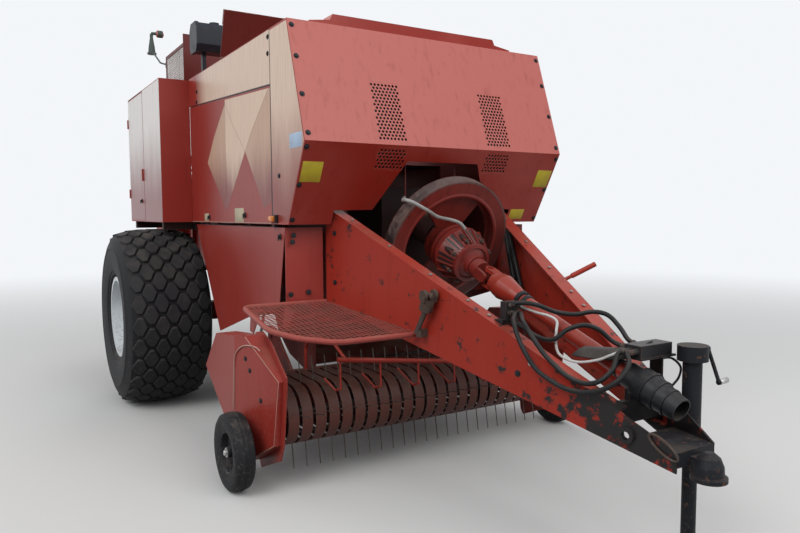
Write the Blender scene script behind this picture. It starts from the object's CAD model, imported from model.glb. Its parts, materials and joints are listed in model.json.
"""Looks of a large square baler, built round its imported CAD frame.

Metres, in the CAD frame: +X is the machine's left side, +Y its rear, +Z up.
Places taken from the machine's drawings are in millimetres from the axle and
go through place().
"""

import json
import logging
import math
from contextlib import contextmanager
from dataclasses import dataclass
from enum import Enum
from typing import Iterable, Iterator, Sequence

import bpy
from mathutils import Matrix, Vector

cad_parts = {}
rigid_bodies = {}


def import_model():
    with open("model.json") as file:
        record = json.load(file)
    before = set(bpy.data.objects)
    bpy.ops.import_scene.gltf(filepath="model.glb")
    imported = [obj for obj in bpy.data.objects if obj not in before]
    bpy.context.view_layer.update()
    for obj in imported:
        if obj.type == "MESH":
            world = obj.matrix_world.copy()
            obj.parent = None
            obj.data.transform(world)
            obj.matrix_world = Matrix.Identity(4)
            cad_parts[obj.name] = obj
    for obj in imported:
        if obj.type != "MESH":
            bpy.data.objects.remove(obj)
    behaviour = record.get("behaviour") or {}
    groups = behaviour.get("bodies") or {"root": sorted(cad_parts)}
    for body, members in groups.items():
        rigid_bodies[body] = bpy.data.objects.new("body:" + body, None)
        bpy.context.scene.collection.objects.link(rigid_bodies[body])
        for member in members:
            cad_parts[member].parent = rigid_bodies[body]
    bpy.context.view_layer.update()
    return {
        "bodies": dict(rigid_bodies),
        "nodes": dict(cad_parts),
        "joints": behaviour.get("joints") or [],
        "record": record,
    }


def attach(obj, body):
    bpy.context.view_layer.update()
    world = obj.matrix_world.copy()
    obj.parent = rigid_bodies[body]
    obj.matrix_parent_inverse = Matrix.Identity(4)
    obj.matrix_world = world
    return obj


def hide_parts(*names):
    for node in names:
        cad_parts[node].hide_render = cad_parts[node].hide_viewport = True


log = logging.getLogger("baler")

MM = 0.001  # a millimetre in metres
AXLE_Y = 970.0  # Y of the axle in the frame, in millimetres
BODY_X = 990.0  # half the width of the body, in millimetres
BEAM_ANGLE = math.atan(580 / 2180)  # angle of a drawbar beam to the machine's middle
SMOOTH = math.radians(35)  # sharpest angle that is shaded smooth
MERGE = 1e-5  # distance at which points become one, in metres
Pair = tuple[float, float]
Triple = tuple[float, float, float]
Colour = tuple[float, float, float]
Piece = bpy.types.Object
Material = bpy.types.Material
Finishes = dict[str, Material]
Node = bpy.types.Node
Socket = bpy.types.NodeSocket
Inputs = dict[str | int, object]


def place(x: float, y: float, z: float) -> Vector:
    """Turn millimetres from the axle into a place in the frame."""
    return Vector((x, y + AXLE_Y, z)) * MM


class Side(Enum):
    """Side of the machine, with the sign of its X."""

    RIGHT = -1
    LEFT = 1

    @property
    def word(self) -> str:
        """Ending of the piece and body names on this side."""
        return self.name.lower()


# ---- Modelling by operators ----


def deselect() -> None:
    """Leave object mode with nothing selected, so that an operator meets only its own piece."""
    if bpy.context.object is not None and bpy.context.object.mode != "OBJECT":
        bpy.ops.object.mode_set(mode="OBJECT")
    bpy.ops.object.select_all(action="DESELECT")


def activate(piece: Piece) -> None:
    """Select one piece alone and make it the active one.

    Args:
        piece: Piece to select.
    """
    deselect()
    piece.select_set(True)
    bpy.context.view_layer.objects.active = piece


def settle(name: str) -> Piece:
    """Name the active object and put its place, turn and scale in its mesh.

    Args:
        name: Name of the piece and of its mesh.

    Returns:
        The piece, at the origin.
    """
    piece = bpy.context.active_object
    bpy.ops.object.transform_apply(location=True, rotation=True, scale=True)
    piece.name = piece.data.name = name
    return piece


@contextmanager
def edit_all() -> Iterator[None]:
    """Edit the active mesh with all of it selected, and leave its faces turned outwards.

    Yields:
        Nothing; the operators of the with block act on the whole mesh.
    """
    bpy.ops.object.mode_set(mode="EDIT")
    bpy.ops.mesh.select_all(action="SELECT")
    yield
    bpy.ops.mesh.select_all(action="SELECT")
    bpy.ops.mesh.normals_make_consistent(inside=False)
    bpy.ops.object.mode_set(mode="OBJECT")


def round_edges(piece: Piece, width: float, segments: int = 2, angle: float = 40.0) -> Piece:
    """Bevel the sharp edges of a piece and smooth what is nearly flat.

    Args:
        piece: Piece to finish.
        width: Width of the bevel in metres; nothing is cut at zero.
        segments: Steps across the bevel.
        angle: Smallest angle in degrees that counts as an edge.

    Returns:
        The same piece.
    """
    activate(piece)
    if width > 0:
        bevel = piece.modifiers.new("rounded", "BEVEL")
        bevel.width = width
        bevel.segments = segments
        bevel.limit_method = "ANGLE"
        bevel.angle_limit = math.radians(angle)
        bpy.ops.object.modifier_apply(modifier=bevel.name)
    bpy.ops.object.shade_smooth_by_angle(angle=SMOOTH)
    return piece


def block(name: str, low: Vector, high: Vector, edge: float = 0.0015) -> Piece:
    """Model a block with rounded edges between two corners.

    Args:
        name: Name of the piece.
        low: Lowest corner.
        high: Highest corner.
        edge: Width of the rounding.

    Returns:
        The block.
    """
    deselect()
    bpy.ops.mesh.primitive_cube_add(size=1, location=(low + high) / 2)
    bpy.context.active_object.scale = high - low
    return round_edges(settle(name), edge)


def sided_block(name: str, side: Side, low: Triple, high: Triple, edge: float) -> Piece:
    """Model a block from its corners in millimetres from the axle, given for the left side."""
    inner, outer = sorted((side.value * low[0], side.value * high[0]))
    return block(name, place(inner, *low[1:]), place(outer, *high[1:]), edge)


def turn_to(direction: Vector) -> Triple:
    """Euler angles that turn +Z to a direction."""
    return tuple(direction.to_track_quat("Z", "Y").to_euler())


def rod(name: str, start: Vector, end: Vector, radius: float, sides: int = 16, edge: float = 0.0) -> Piece:
    """Model a round bar between two points.

    Args:
        name: Name of the piece.
        start: Middle of one end.
        end: Middle of the other end.
        radius: Radius of the bar.
        sides: Number of flats round it.
        edge: Width of the rounding at its ends.

    Returns:
        The bar.
    """
    deselect()
    bpy.ops.mesh.primitive_cylinder_add(
        vertices=sides, radius=radius, depth=(end - start).length,
        location=(start + end) / 2, rotation=turn_to(end - start))
    return round_edges(settle(name), edge)


def plate(name: str, outline: Sequence[Vector], thickness: Vector, edge: float = 0.0) -> Piece:
    """Model a plate from its outline, extruded by a vector.

    Args:
        name: Name of the piece.
        outline: Corners in order round the plate.
        thickness: Way from the first face to the second.
        edge: Width of the rounding.

    Returns:
        The plate.
    """
    deselect()
    bpy.ops.mesh.primitive_circle_add(vertices=len(outline), fill_type="NGON")
    piece = settle(name)
    for vertex, corner in zip(piece.data.vertices, outline):
        vertex.co = corner
    with edit_all():
        bpy.ops.mesh.extrude_region_move(TRANSFORM_OT_translate={"value": thickness})
    return round_edges(piece, edge)


def smooth_route(points: Sequence[Vector], steps: int) -> list[Vector]:
    """Round a route off with a Catmull-Rom curve through its points.

    Args:
        points: Points on the route.
        steps: Number of steps between two points.

    Returns:
        The points of the rounded route.
    """
    route = []
    for i in range(len(points) - 1):
        a, b = points[max(i - 1, 0)], points[i]
        c, d = points[i + 1], points[min(i + 2, len(points) - 1)]
        for k in range(steps):
            t = k / steps
            route.append(0.5 * (2 * b + (c - a) * t + (2 * a - 5 * b + 4 * c - d) * t * t
                                + (3 * b - a - 3 * c + d) * t ** 3))
    route.append(points[-1])
    return route


def pipe_curve(name: str, route: Sequence[Vector], radius: float, sides: int = 12) -> Piece:
    """Lay a round tube along a route as a curve of one open spline.

    Args:
        name: Name of the piece.
        route: Points on its middle line.
        radius: Radius of the tube.
        sides: Number of flats round it, a multiple of four.

    Returns:
        The curve.
    """
    deselect()
    data = bpy.data.curves.new(name, "CURVE")
    data.dimensions = "3D"
    data.bevel_depth = radius
    data.bevel_resolution = sides // 4 - 1
    data.use_fill_caps = True
    spline = data.splines.new("POLY")
    spline.points.add(len(route) - 1)
    for point, where in zip(spline.points, route):
        point.co = (*where, 1)
    piece = bpy.data.objects.new(name, data)
    bpy.context.collection.objects.link(piece)
    return piece


def pipe(name: str, points: Sequence[Vector], radius: float, steps: int = 4, sides: int = 12) -> Piece:
    """Model a bent round tube as a mesh.

    Args:
        name: Name of the piece.
        points: Points on its route.
        radius: Radius of the tube.
        steps: Steps between two points; 1 keeps sharp bends.
        sides: Number of flats round it.

    Returns:
        The tube.
    """
    piece = pipe_curve(name, smooth_route(points, steps), radius, sides)
    activate(piece)
    bpy.ops.object.convert(target="MESH")
    piece = bpy.context.active_object
    with edit_all():
        bpy.ops.mesh.remove_doubles(threshold=MERGE)
    return round_edges(settle(name), 0)


def turned(name: str, profile: Sequence[Pair], frame: Matrix, steps: int = 32) -> Piece:
    """Turn a profile of radius and height round the Z axis of a frame.

    Args:
        name: Name of the piece.
        profile: Points of radius and height, from the axis back to the axis or closed.
        frame: Where the axis stands.
        steps: Number of steps round the axis.

    Returns:
        The turned piece.
    """
    deselect()
    bpy.ops.mesh.primitive_circle_add(vertices=len(profile), fill_type="NOTHING")
    piece = settle(name)
    for vertex, (radius, height) in zip(piece.data.vertices, profile):
        vertex.co = (radius, 0, height)
    with edit_all():
        bpy.ops.mesh.spin(steps=steps, angle=2 * math.pi, center=(0, 0, 0), axis=(0, 0, 1))
        bpy.ops.mesh.select_all(action="SELECT")
        bpy.ops.mesh.remove_doubles(threshold=MERGE)
    piece.data.transform(frame)
    return round_edges(piece, 0)


def axis_frame(origin: Vector, axis: Vector) -> Matrix:
    """Frame at a point whose Z runs along an axis."""
    return Matrix.Translation(origin) @ axis.to_track_quat("Z", "Y").to_matrix().to_4x4()


def copies(piece: Piece, frames: Iterable[Matrix]) -> list[Piece]:
    """Copy a piece to each frame, each copy with its own mesh, and drop the pattern.

    Args:
        piece: Pattern, modelled round the origin.
        frames: Where the copies stand.

    Returns:
        The copies.
    """
    made = []
    for frame in frames:
        twin = piece.copy()
        twin.data = piece.data.copy()
        twin.data.transform(frame)
        bpy.context.collection.objects.link(twin)
        made.append(twin)
    bpy.data.objects.remove(piece)
    return made


def joined(name: str, parts: Sequence[Piece]) -> Piece:
    """Join several meshes into one piece.

    Args:
        name: Name of the joined piece.
        parts: Meshes to join.

    Returns:
        The joined piece.
    """
    deselect()
    for part in parts:
        part.select_set(True)
    bpy.context.view_layer.objects.active = parts[0]
    if len(parts) > 1:
        bpy.ops.object.join()
    piece = bpy.context.active_object
    piece.name = piece.data.name = name
    return piece


def dress(piece: Piece, finish: Material | None, body: str, slot: str, *nodes: str) -> Piece:
    """Give a piece its finish, the body that it rides on and its slot.

    Args:
        piece: Piece to dress.
        finish: Material of the whole piece, or None where its parts have theirs.
        body: CAD body that carries it.
        slot: Material slot of the record.
        nodes: CAD nodes that it stands for.

    Returns:
        The same piece.
    """
    if finish is not None:
        piece.data.materials.clear()
        piece.data.materials.append(finish)
    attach(piece, body)
    if nodes:
        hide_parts(*nodes)
    log.info("%s on %s", piece.name, body)
    return piece


# ---- Shader groups and finishes ----


class Graph:
    """Short words for wiring one node tree."""

    def __init__(self, tree: bpy.types.NodeTree) -> None:
        """Take the tree to be wired."""
        self.tree = tree

    def feed(self, node: Node, inputs: Inputs) -> None:
        """Link a node's inputs to their sockets, or set their values.

        Args:
            node: Node to feed.
            inputs: Values or sockets for named or numbered inputs.
        """
        for word, value in inputs.items():
            if isinstance(value, Socket):
                self.tree.links.new(value, node.inputs[word])
            else:
                node.inputs[word].default_value = value

    def add(self, kind: str, inputs: Inputs | None = None, **settings: object) -> Node:
        """Add a node.

        Args:
            kind: Node type without its ShaderNode prefix.
            inputs: Values or sockets for named or numbered inputs.
            settings: Attributes of the node.

        Returns:
            The node.
        """
        node = self.tree.nodes.new("ShaderNode" + kind)
        for word, value in settings.items():
            setattr(node, word, value)
        self.feed(node, inputs or {})
        return node

    def group(self, tree: bpy.types.NodeTree, where: Socket, **numbers: float) -> bpy.types.NodeOutputs:
        """Place a shared group with its own values, and give its outputs."""
        return self.add("Group", {"Where": where, **numbers}, node_tree=tree).outputs

    def combine(self, operation: str, a: object, b: object, clamp: bool = False) -> Socket:
        """Combine two values by a math node."""
        return self.add("Math", {0: a, 1: b}, operation=operation, use_clamp=clamp).outputs[0]

    def plus(self, a: object, b: object, clamp: bool = False) -> Socket:
        """Add two values."""
        return self.combine("ADD", a, b, clamp)

    def minus(self, a: object, b: object, clamp: bool = False) -> Socket:
        """Subtract the second value from the first."""
        return self.combine("SUBTRACT", a, b, clamp)

    def times(self, a: object, b: object, clamp: bool = False) -> Socket:
        """Multiply two values."""
        return self.combine("MULTIPLY", a, b, clamp)

    def most(self, a: object, b: object) -> Socket:
        """Take the larger of two values."""
        return self.combine("MAXIMUM", a, b)

    def blend(self, share: object, a: object, b: object) -> Socket:
        """Mix two colours, the second by its share."""
        return self.add("Mix", {0: share, 6: self.rgba(a), 7: self.rgba(b)}, data_type="RGBA").outputs[2]

    def step(self, value: object, low: float, high: float) -> Socket:
        """Rise smoothly from 0 at low to 1 at high."""
        return self.add("MapRange", {0: value, 1: low, 2: high}, interpolation_type="SMOOTHSTEP").outputs[0]

    def noise(self, where: Socket, scale: float, detail: float, rough: float) -> Socket:
        """Cloudy noise between 0 and 1."""
        inputs = {"Vector": where, "Scale": scale, "Detail": detail, "Roughness": rough}
        return self.add("TexNoise", inputs).outputs[0]

    def stretched(self, where: Socket, scale: Triple) -> Socket:
        """Coordinates scaled apart along the three axes."""
        return self.add("Mapping", {"Vector": where, "Scale": scale}).outputs[0]

    def axis(self, vector: Socket, number: int) -> Socket:
        """One part of a vector: 0 for X, 1 for Y, 2 for Z."""
        return self.add("SeparateXYZ", {0: vector}).outputs[number]

    def upward(self) -> Socket:
        """How far the face is turned up, from -1 to 1."""
        return self.axis(self.add("NewGeometry").outputs["Normal"], 2)

    def bump(self, height: Socket, distance: float, strength: float) -> Socket:
        """Normal of a relief of so many metres."""
        return self.add("Bump", {"Height": height, "Distance": distance, "Strength": strength}).outputs[0]

    @staticmethod
    def rgba(colour: object) -> object:
        """Give a plain colour its alpha, and pass a socket on."""
        return (*colour, 1) if isinstance(colour, tuple) and len(colour) == 3 else colour


def scaled(colour: Colour, share: float) -> Colour:
    """Lighten or darken a colour."""
    return tuple(share * c for c in colour)


def shader_group(name: str, numbers: dict[str, float], results: Sequence[str]
                 ) -> tuple[Graph, bpy.types.NodeOutputs, Node]:
    """Start a node group that reads coordinates and numbers.

    Args:
        name: Name of the group.
        numbers: Number inputs with their defaults.
        results: Names of its value outputs.

    Returns:
        Its graph, what it is given, and the node that its results feed.
    """
    tree = bpy.data.node_groups.new(name, "ShaderNodeTree")
    tree.interface.new_socket("Where", in_out="INPUT", socket_type="NodeSocketVector")
    for word, value in numbers.items():
        tree.interface.new_socket(word, in_out="INPUT", socket_type="NodeSocketFloat").default_value = value
    for word in results:
        tree.interface.new_socket(word, in_out="OUTPUT", socket_type="NodeSocketFloat")
    return Graph(tree), tree.nodes.new("NodeGroupInput").outputs, tree.nodes.new("NodeGroupOutput")


def edge_wear_group() -> bpy.types.NodeTree:
    """Build the mask of worn edges: a bevelled normal against the true one, broken up by noise.

    Returns:
        The group.
    """
    graph, given, out = shader_group("edge_wear", {"Radius": 0.006, "Amount": 1.0}, ["Mask"])
    soft = graph.add("Bevel", {"Radius": given["Radius"]}, samples=3).outputs[0]
    true = graph.add("NewGeometry").outputs["Normal"]
    match = graph.add("VectorMath", {0: soft, 1: true}, operation="DOT_PRODUCT").outputs["Value"]
    patches = graph.noise(given["Where"], 9.0, 5.0, 0.7)
    mask = graph.times(graph.times(graph.minus(1.0, match), 3.2), graph.step(patches, 0.42, 0.62))
    graph.feed(out, {"Mask": graph.times(mask, given["Amount"], clamp=True)})
    return graph.tree


def dust_group() -> bpy.types.NodeTree:
    """Build the mask of dust that lies on faces turned up, and of splashed soil low down.

    Returns:
        The group.
    """
    graph, given, out = shader_group("settled_dust", {"Amount": 1.0, "Splash": 0.5}, ["Mask"])
    cloud = graph.noise(given["Where"], 6.0, 6.0, 0.65)
    lying = graph.times(graph.step(graph.upward(), 0.35, 0.95), graph.step(cloud, 0.38, 0.68))
    spots = graph.step(graph.noise(given["Where"], 48.0, 3.0, 0.6), 0.52, 0.70)
    near_ground = graph.step(graph.axis(given["Where"], 2), 1.1, 0.1)
    soil = graph.times(graph.times(near_ground, spots), given["Splash"])
    graph.feed(out, {"Mask": graph.plus(graph.times(lying, given["Amount"]), soil, clamp=True)})
    return graph.tree


def weather_group() -> bpy.types.NodeTree:
    """Build the cloudy fading, the run-down streaks, the chips of old paint and a fine grain.

    Returns:
        The group.
    """
    graph, given, out = shader_group("weathered", {"Chips": 0.3}, ["Fade", "Streaks", "Chips", "Grain"])
    where = given["Where"]
    runs = graph.noise(graph.stretched(where, (26.0, 26.0, 1.4)), 1.0, 4.0, 0.6)
    flakes = graph.noise(where, 34.0, 8.0, 0.72)
    level = graph.minus(0.74, graph.times(given["Chips"], 0.14))
    graph.feed(out, {
        "Fade": graph.step(graph.noise(where, 1.3, 3.0, 0.5), 0.35, 0.70),
        "Streaks": graph.step(runs, 0.50, 0.78),
        "Chips": graph.times(graph.minus(flakes, level), 28.0, clamp=True),
        "Grain": graph.noise(where, 260.0, 2.0, 0.5)})
    return graph.tree


class Groups:
    """The shared shader groups, each built once."""

    def __init__(self) -> None:
        """Build every group."""
        self.wear = edge_wear_group()
        self.dust = dust_group()
        self.weather = weather_group()


def new_material(name: str) -> tuple[Material, Graph, Node]:
    """Start a material.

    Args:
        name: Name of the material.

    Returns:
        The material, its graph and its Principled node.
    """
    material = bpy.data.materials.new(name)
    material.use_nodes = True
    return material, Graph(material.node_tree), material.node_tree.nodes["Principled BSDF"]


@dataclass(frozen=True)
class Finish:
    """Material whose surface is wired by its kind.

    Attributes:
        name: Name of the material.
        colour: Main colour, of what is clean.
    """

    name: str
    colour: Colour

    def build(self, groups: Groups) -> Material:
        """Make the material.

        Args:
            groups: The shared shader groups.

        Returns:
            The material.
        """
        material, graph, shader = new_material(self.name)
        graph.feed(shader, self.surface(graph, graph.add("TexCoord").outputs["Object"], groups))
        return material

    def surface(self, graph: Graph, where: Socket, groups: Groups) -> Inputs:
        """Wire the surface of this kind of finish.

        Args:
            graph: Graph of the material.
            where: Coordinates on the object.
            groups: The shared shader groups.

        Returns:
            Inputs of the Principled shader.
        """
        raise NotImplementedError


@dataclass(frozen=True)
class Paint(Finish):
    """Old machine paint: fading, streaks, chips, worn edges and dust over one colour.

    Attributes:
        faded: Colour where it has faded.
        bare: Colour of what shows under chips and worn edges.
        gloss: Roughness of the paint.
        wear: Strength of the worn edges.
        chips: Strength of the chipping.
        dust: Strength of the dust on faces turned up.
        splash: Strength of the soil splashed low down.
        streaks: Strength of the dark streaks.
        waves: Height of the slow waves in the sheet, over that of the fine relief.
        earth: Colour of the dust and the soil.
        sun: Strength of the fading on faces turned to the sky.
        mottle: Strength of the cloudy fading on all faces.
        shine: Specular level of the coat.
        oily: Y in metres where black grease starts and where it covers most, or None.
    """

    faded: Colour
    bare: Colour = (0.10, 0.055, 0.04)
    gloss: float = 0.42
    wear: float = 0.5
    chips: float = 0.3
    dust: float = 0.25
    splash: float = 0.35
    streaks: float = 0.25
    waves: float = 2.0
    earth: Colour = (0.22, 0.17, 0.125)
    sun: float = 0.6
    mottle: float = 0.35
    shine: float = 0.24
    oily: Pair | None = None

    def greased(self, graph: Graph, where: Socket, coat: Socket) -> Socket:
        """Cover the coat with ragged black grease towards the nose.

        Args:
            graph: Graph of the material.
            where: Coordinates on the object.
            coat: Colour of the paint.

        Returns:
            Colour of the paint and the grease.
        """
        along = graph.axis(where, 1)
        cover = graph.plus(graph.step(along, *self.oily), graph.times(graph.step(along, -2.3, -3.3), 0.22))
        blots = graph.noise(where, 11.0, 6.0, 0.68)
        grease = graph.step(graph.plus(blots, graph.times(cover, 0.185)), 0.60, 0.68)
        return graph.blend(grease, coat, (0.020, 0.018, 0.018))

    def surface(self, graph: Graph, where: Socket, groups: Groups) -> Inputs:
        """Wire the paint.

        Args:
            graph: Graph of the material.
            where: Coordinates on the object.
            groups: The shared shader groups.

        Returns:
            Inputs of the Principled shader.
        """
        weather = graph.group(groups.weather, where, Chips=self.chips)
        worn = graph.group(groups.wear, where, Amount=self.wear)["Mask"]
        dusty = graph.group(groups.dust, where, Amount=self.dust, Splash=self.splash)["Mask"]
        sunny = graph.times(graph.step(graph.upward(), 0.02, 0.30), self.sun)
        cloudy = graph.times(weather["Fade"], graph.plus(self.mottle, graph.times(sunny, 0.5), clamp=True))
        coat = graph.blend(graph.most(sunny, cloudy), self.colour, self.faded)
        coat = graph.blend(graph.times(weather["Streaks"], self.streaks), coat, scaled(self.colour, 0.45))
        for mask, cover in ((weather["Chips"], self.bare), (worn, self.bare), (dusty, self.earth)):
            coat = graph.blend(mask, coat, cover)
        if self.oily is not None:
            coat = self.greased(graph, where, coat)
        spoilt = graph.most(worn, graph.most(dusty, weather["Chips"]))
        rough = graph.plus(self.gloss, graph.times(graph.minus(weather["Grain"], 0.5), 0.10))
        relief = graph.plus(graph.times(graph.noise(where, 2.6, 1.0, 0.4), self.waves),
                            graph.times(weather["Grain"], 0.10))
        relief = graph.minus(relief, graph.times(weather["Chips"], 0.6))
        return {"Base Color": coat, "Roughness": graph.plus(rough, graph.times(spoilt, 0.35), clamp=True),
                "Specular IOR Level": self.shine, "Normal": graph.bump(relief, 0.0004, 0.8)}


@dataclass(frozen=True)
class Metal(Finish):
    """Bare or rusting metal with scratches.

    Attributes:
        rust: Colour of the rust.
        share: Share of the surface that is rusty.
        gloss: Roughness of the clean metal.
    """

    rust: Colour = (0.17, 0.075, 0.035)
    share: float = 0.4
    gloss: float = 0.36

    def surface(self, graph: Graph, where: Socket, groups: Groups) -> Inputs:
        """Wire the metal.

        Args:
            graph: Graph of the material.
            where: Coordinates on the object.
            groups: The shared shader groups.

        Returns:
            Inputs of the Principled shader.
        """
        streaks = graph.group(groups.weather, where)["Streaks"]
        worn = graph.group(groups.wear, where, Amount=0.7)["Mask"]
        cloud = graph.noise(where, 7.0, 7.0, 0.68)
        rusty = graph.step(cloud, 0.72 - 0.5 * self.share, 0.92 - 0.5 * self.share)
        rusty = graph.minus(rusty, worn, clamp=True)
        pits = graph.noise(where, 90.0, 5.0, 0.7)
        rust = graph.blend(graph.step(pits, 0.35, 0.7), self.rust, scaled(self.rust, 1.9))
        clean = graph.blend(streaks, self.colour, scaled(self.colour, 0.6))
        return {"Base Color": graph.blend(rusty, clean, rust),
                "Roughness": graph.plus(self.gloss, graph.times(rusty, 0.45), clamp=True),
                "Metallic": graph.minus(0.9, graph.times(rusty, 0.85), clamp=True),
                "Normal": graph.bump(graph.times(pits, graph.plus(rusty, 0.15)), 0.0005, 0.7)}


@dataclass(frozen=True)
class Rubber(Finish):
    """Rubber or matt plastic with a dusty grain.

    Attributes:
        dusty: Colour of the dust in its grain.
        share: Share of the surface that is dusty.
        gloss: Roughness of the clean rubber.
        grain: Scale of the fine grain.
    """

    dusty: Colour = (0.115, 0.105, 0.095)
    share: float = 0.5
    gloss: float = 0.62
    grain: float = 420.0

    def surface(self, graph: Graph, where: Socket, groups: Groups) -> Inputs:
        """Wire the rubber.

        Args:
            graph: Graph of the material.
            where: Coordinates on the object.
            groups: The shared shader groups.

        Returns:
            Inputs of the Principled shader.
        """
        soil = graph.group(groups.dust, where, Amount=0.6, Splash=0.5)["Mask"]
        cloud = graph.noise(where, 5.0, 6.0, 0.7)
        cloud = graph.step(cloud, 0.66 - 0.4 * self.share, 0.95 - 0.4 * self.share)
        coat = graph.blend(graph.times(cloud, 0.8), self.colour, self.dusty)
        return {"Base Color": graph.blend(graph.times(soil, 0.55), coat, (0.17, 0.145, 0.12)),
                "Roughness": graph.plus(self.gloss, graph.times(cloud, 0.22), clamp=True),
                "Specular IOR Level": 0.2,
                "Normal": graph.bump(graph.noise(where, self.grain, 3.0, 0.6), 0.0004, 0.5)}


@dataclass(frozen=True)
class SunFade(Finish):
    """Livery sheet that runs from a sun-bleached top, its main colour, to the paint's own red at its foot.

    Attributes:
        foot: Colour at and below the lower height.
        high: Height in metres where the bleached colour starts to turn.
        low: Height in metres where the foot's colour is reached.
        rear: Y in metres where the sheet is all red again, and where it has its bleached colour.
    """

    foot: Colour
    high: float
    low: float
    rear: Pair = (9.0, 8.0)

    def surface(self, graph: Graph, where: Socket, groups: Groups) -> Inputs:
        """Wire the sheet.

        Args:
            graph: Graph of the material.
            where: Coordinates on the object.
            groups: The shared shader groups.

        Returns:
            Inputs of the Principled shader.
        """
        weather = graph.group(groups.weather, where, Chips=0.05)
        ragged = graph.noise(graph.stretched(where, (5.0, 5.0, 0.8)), 1.0, 4.0, 0.6)
        level = graph.plus(graph.axis(where, 2), graph.times(graph.minus(ragged, 0.5), 0.35))
        behind = graph.step(graph.axis(where, 1), *self.rear)
        bleached = graph.times(graph.step(level, self.low, self.high), behind)
        coat = graph.blend(bleached, self.foot, self.colour)
        silk = graph.noise(graph.stretched(where, (1.0, 90.0, 3.0)), 1.0, 3.0, 0.6)
        coat = graph.blend(graph.times(graph.step(silk, 0.45, 0.8), 0.35), coat, self.foot)
        return {"Base Color": graph.blend(graph.times(weather["Chips"], 0.8), coat, (0.20, 0.06, 0.045)),
                "Roughness": graph.plus(0.24, graph.times(weather["Grain"], 0.12)),
                "Specular IOR Level": 0.3,
                "Normal": graph.bump(weather["Grain"], 0.0003, 0.3)}


@dataclass(frozen=True)
class Lens(Finish):
    """Moulded lens of an unlit lamp, with fine ribs.

    Attributes:
        gloss: Roughness of its face.
    """

    gloss: float = 0.18

    def surface(self, graph: Graph, where: Socket, groups: Groups) -> Inputs:
        """Wire the lens.

        Args:
            graph: Graph of the material.
            where: Coordinates on the object.
            groups: The shared shader groups.

        Returns:
            Inputs of the Principled shader.
        """
        ribs = graph.add("TexWave", {"Vector": where, "Scale": 55.0}, bands_direction="X").outputs["Fac"]
        grain = graph.group(groups.weather, where)["Grain"]
        return {"Base Color": graph.blend(graph.times(ribs, 0.35), self.colour, scaled(self.colour, 0.55)),
                "Roughness": graph.plus(self.gloss, graph.times(grain, 0.12)),
                "Coat Weight": 0.4, "Normal": graph.bump(ribs, 0.0008, 0.6)}


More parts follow.
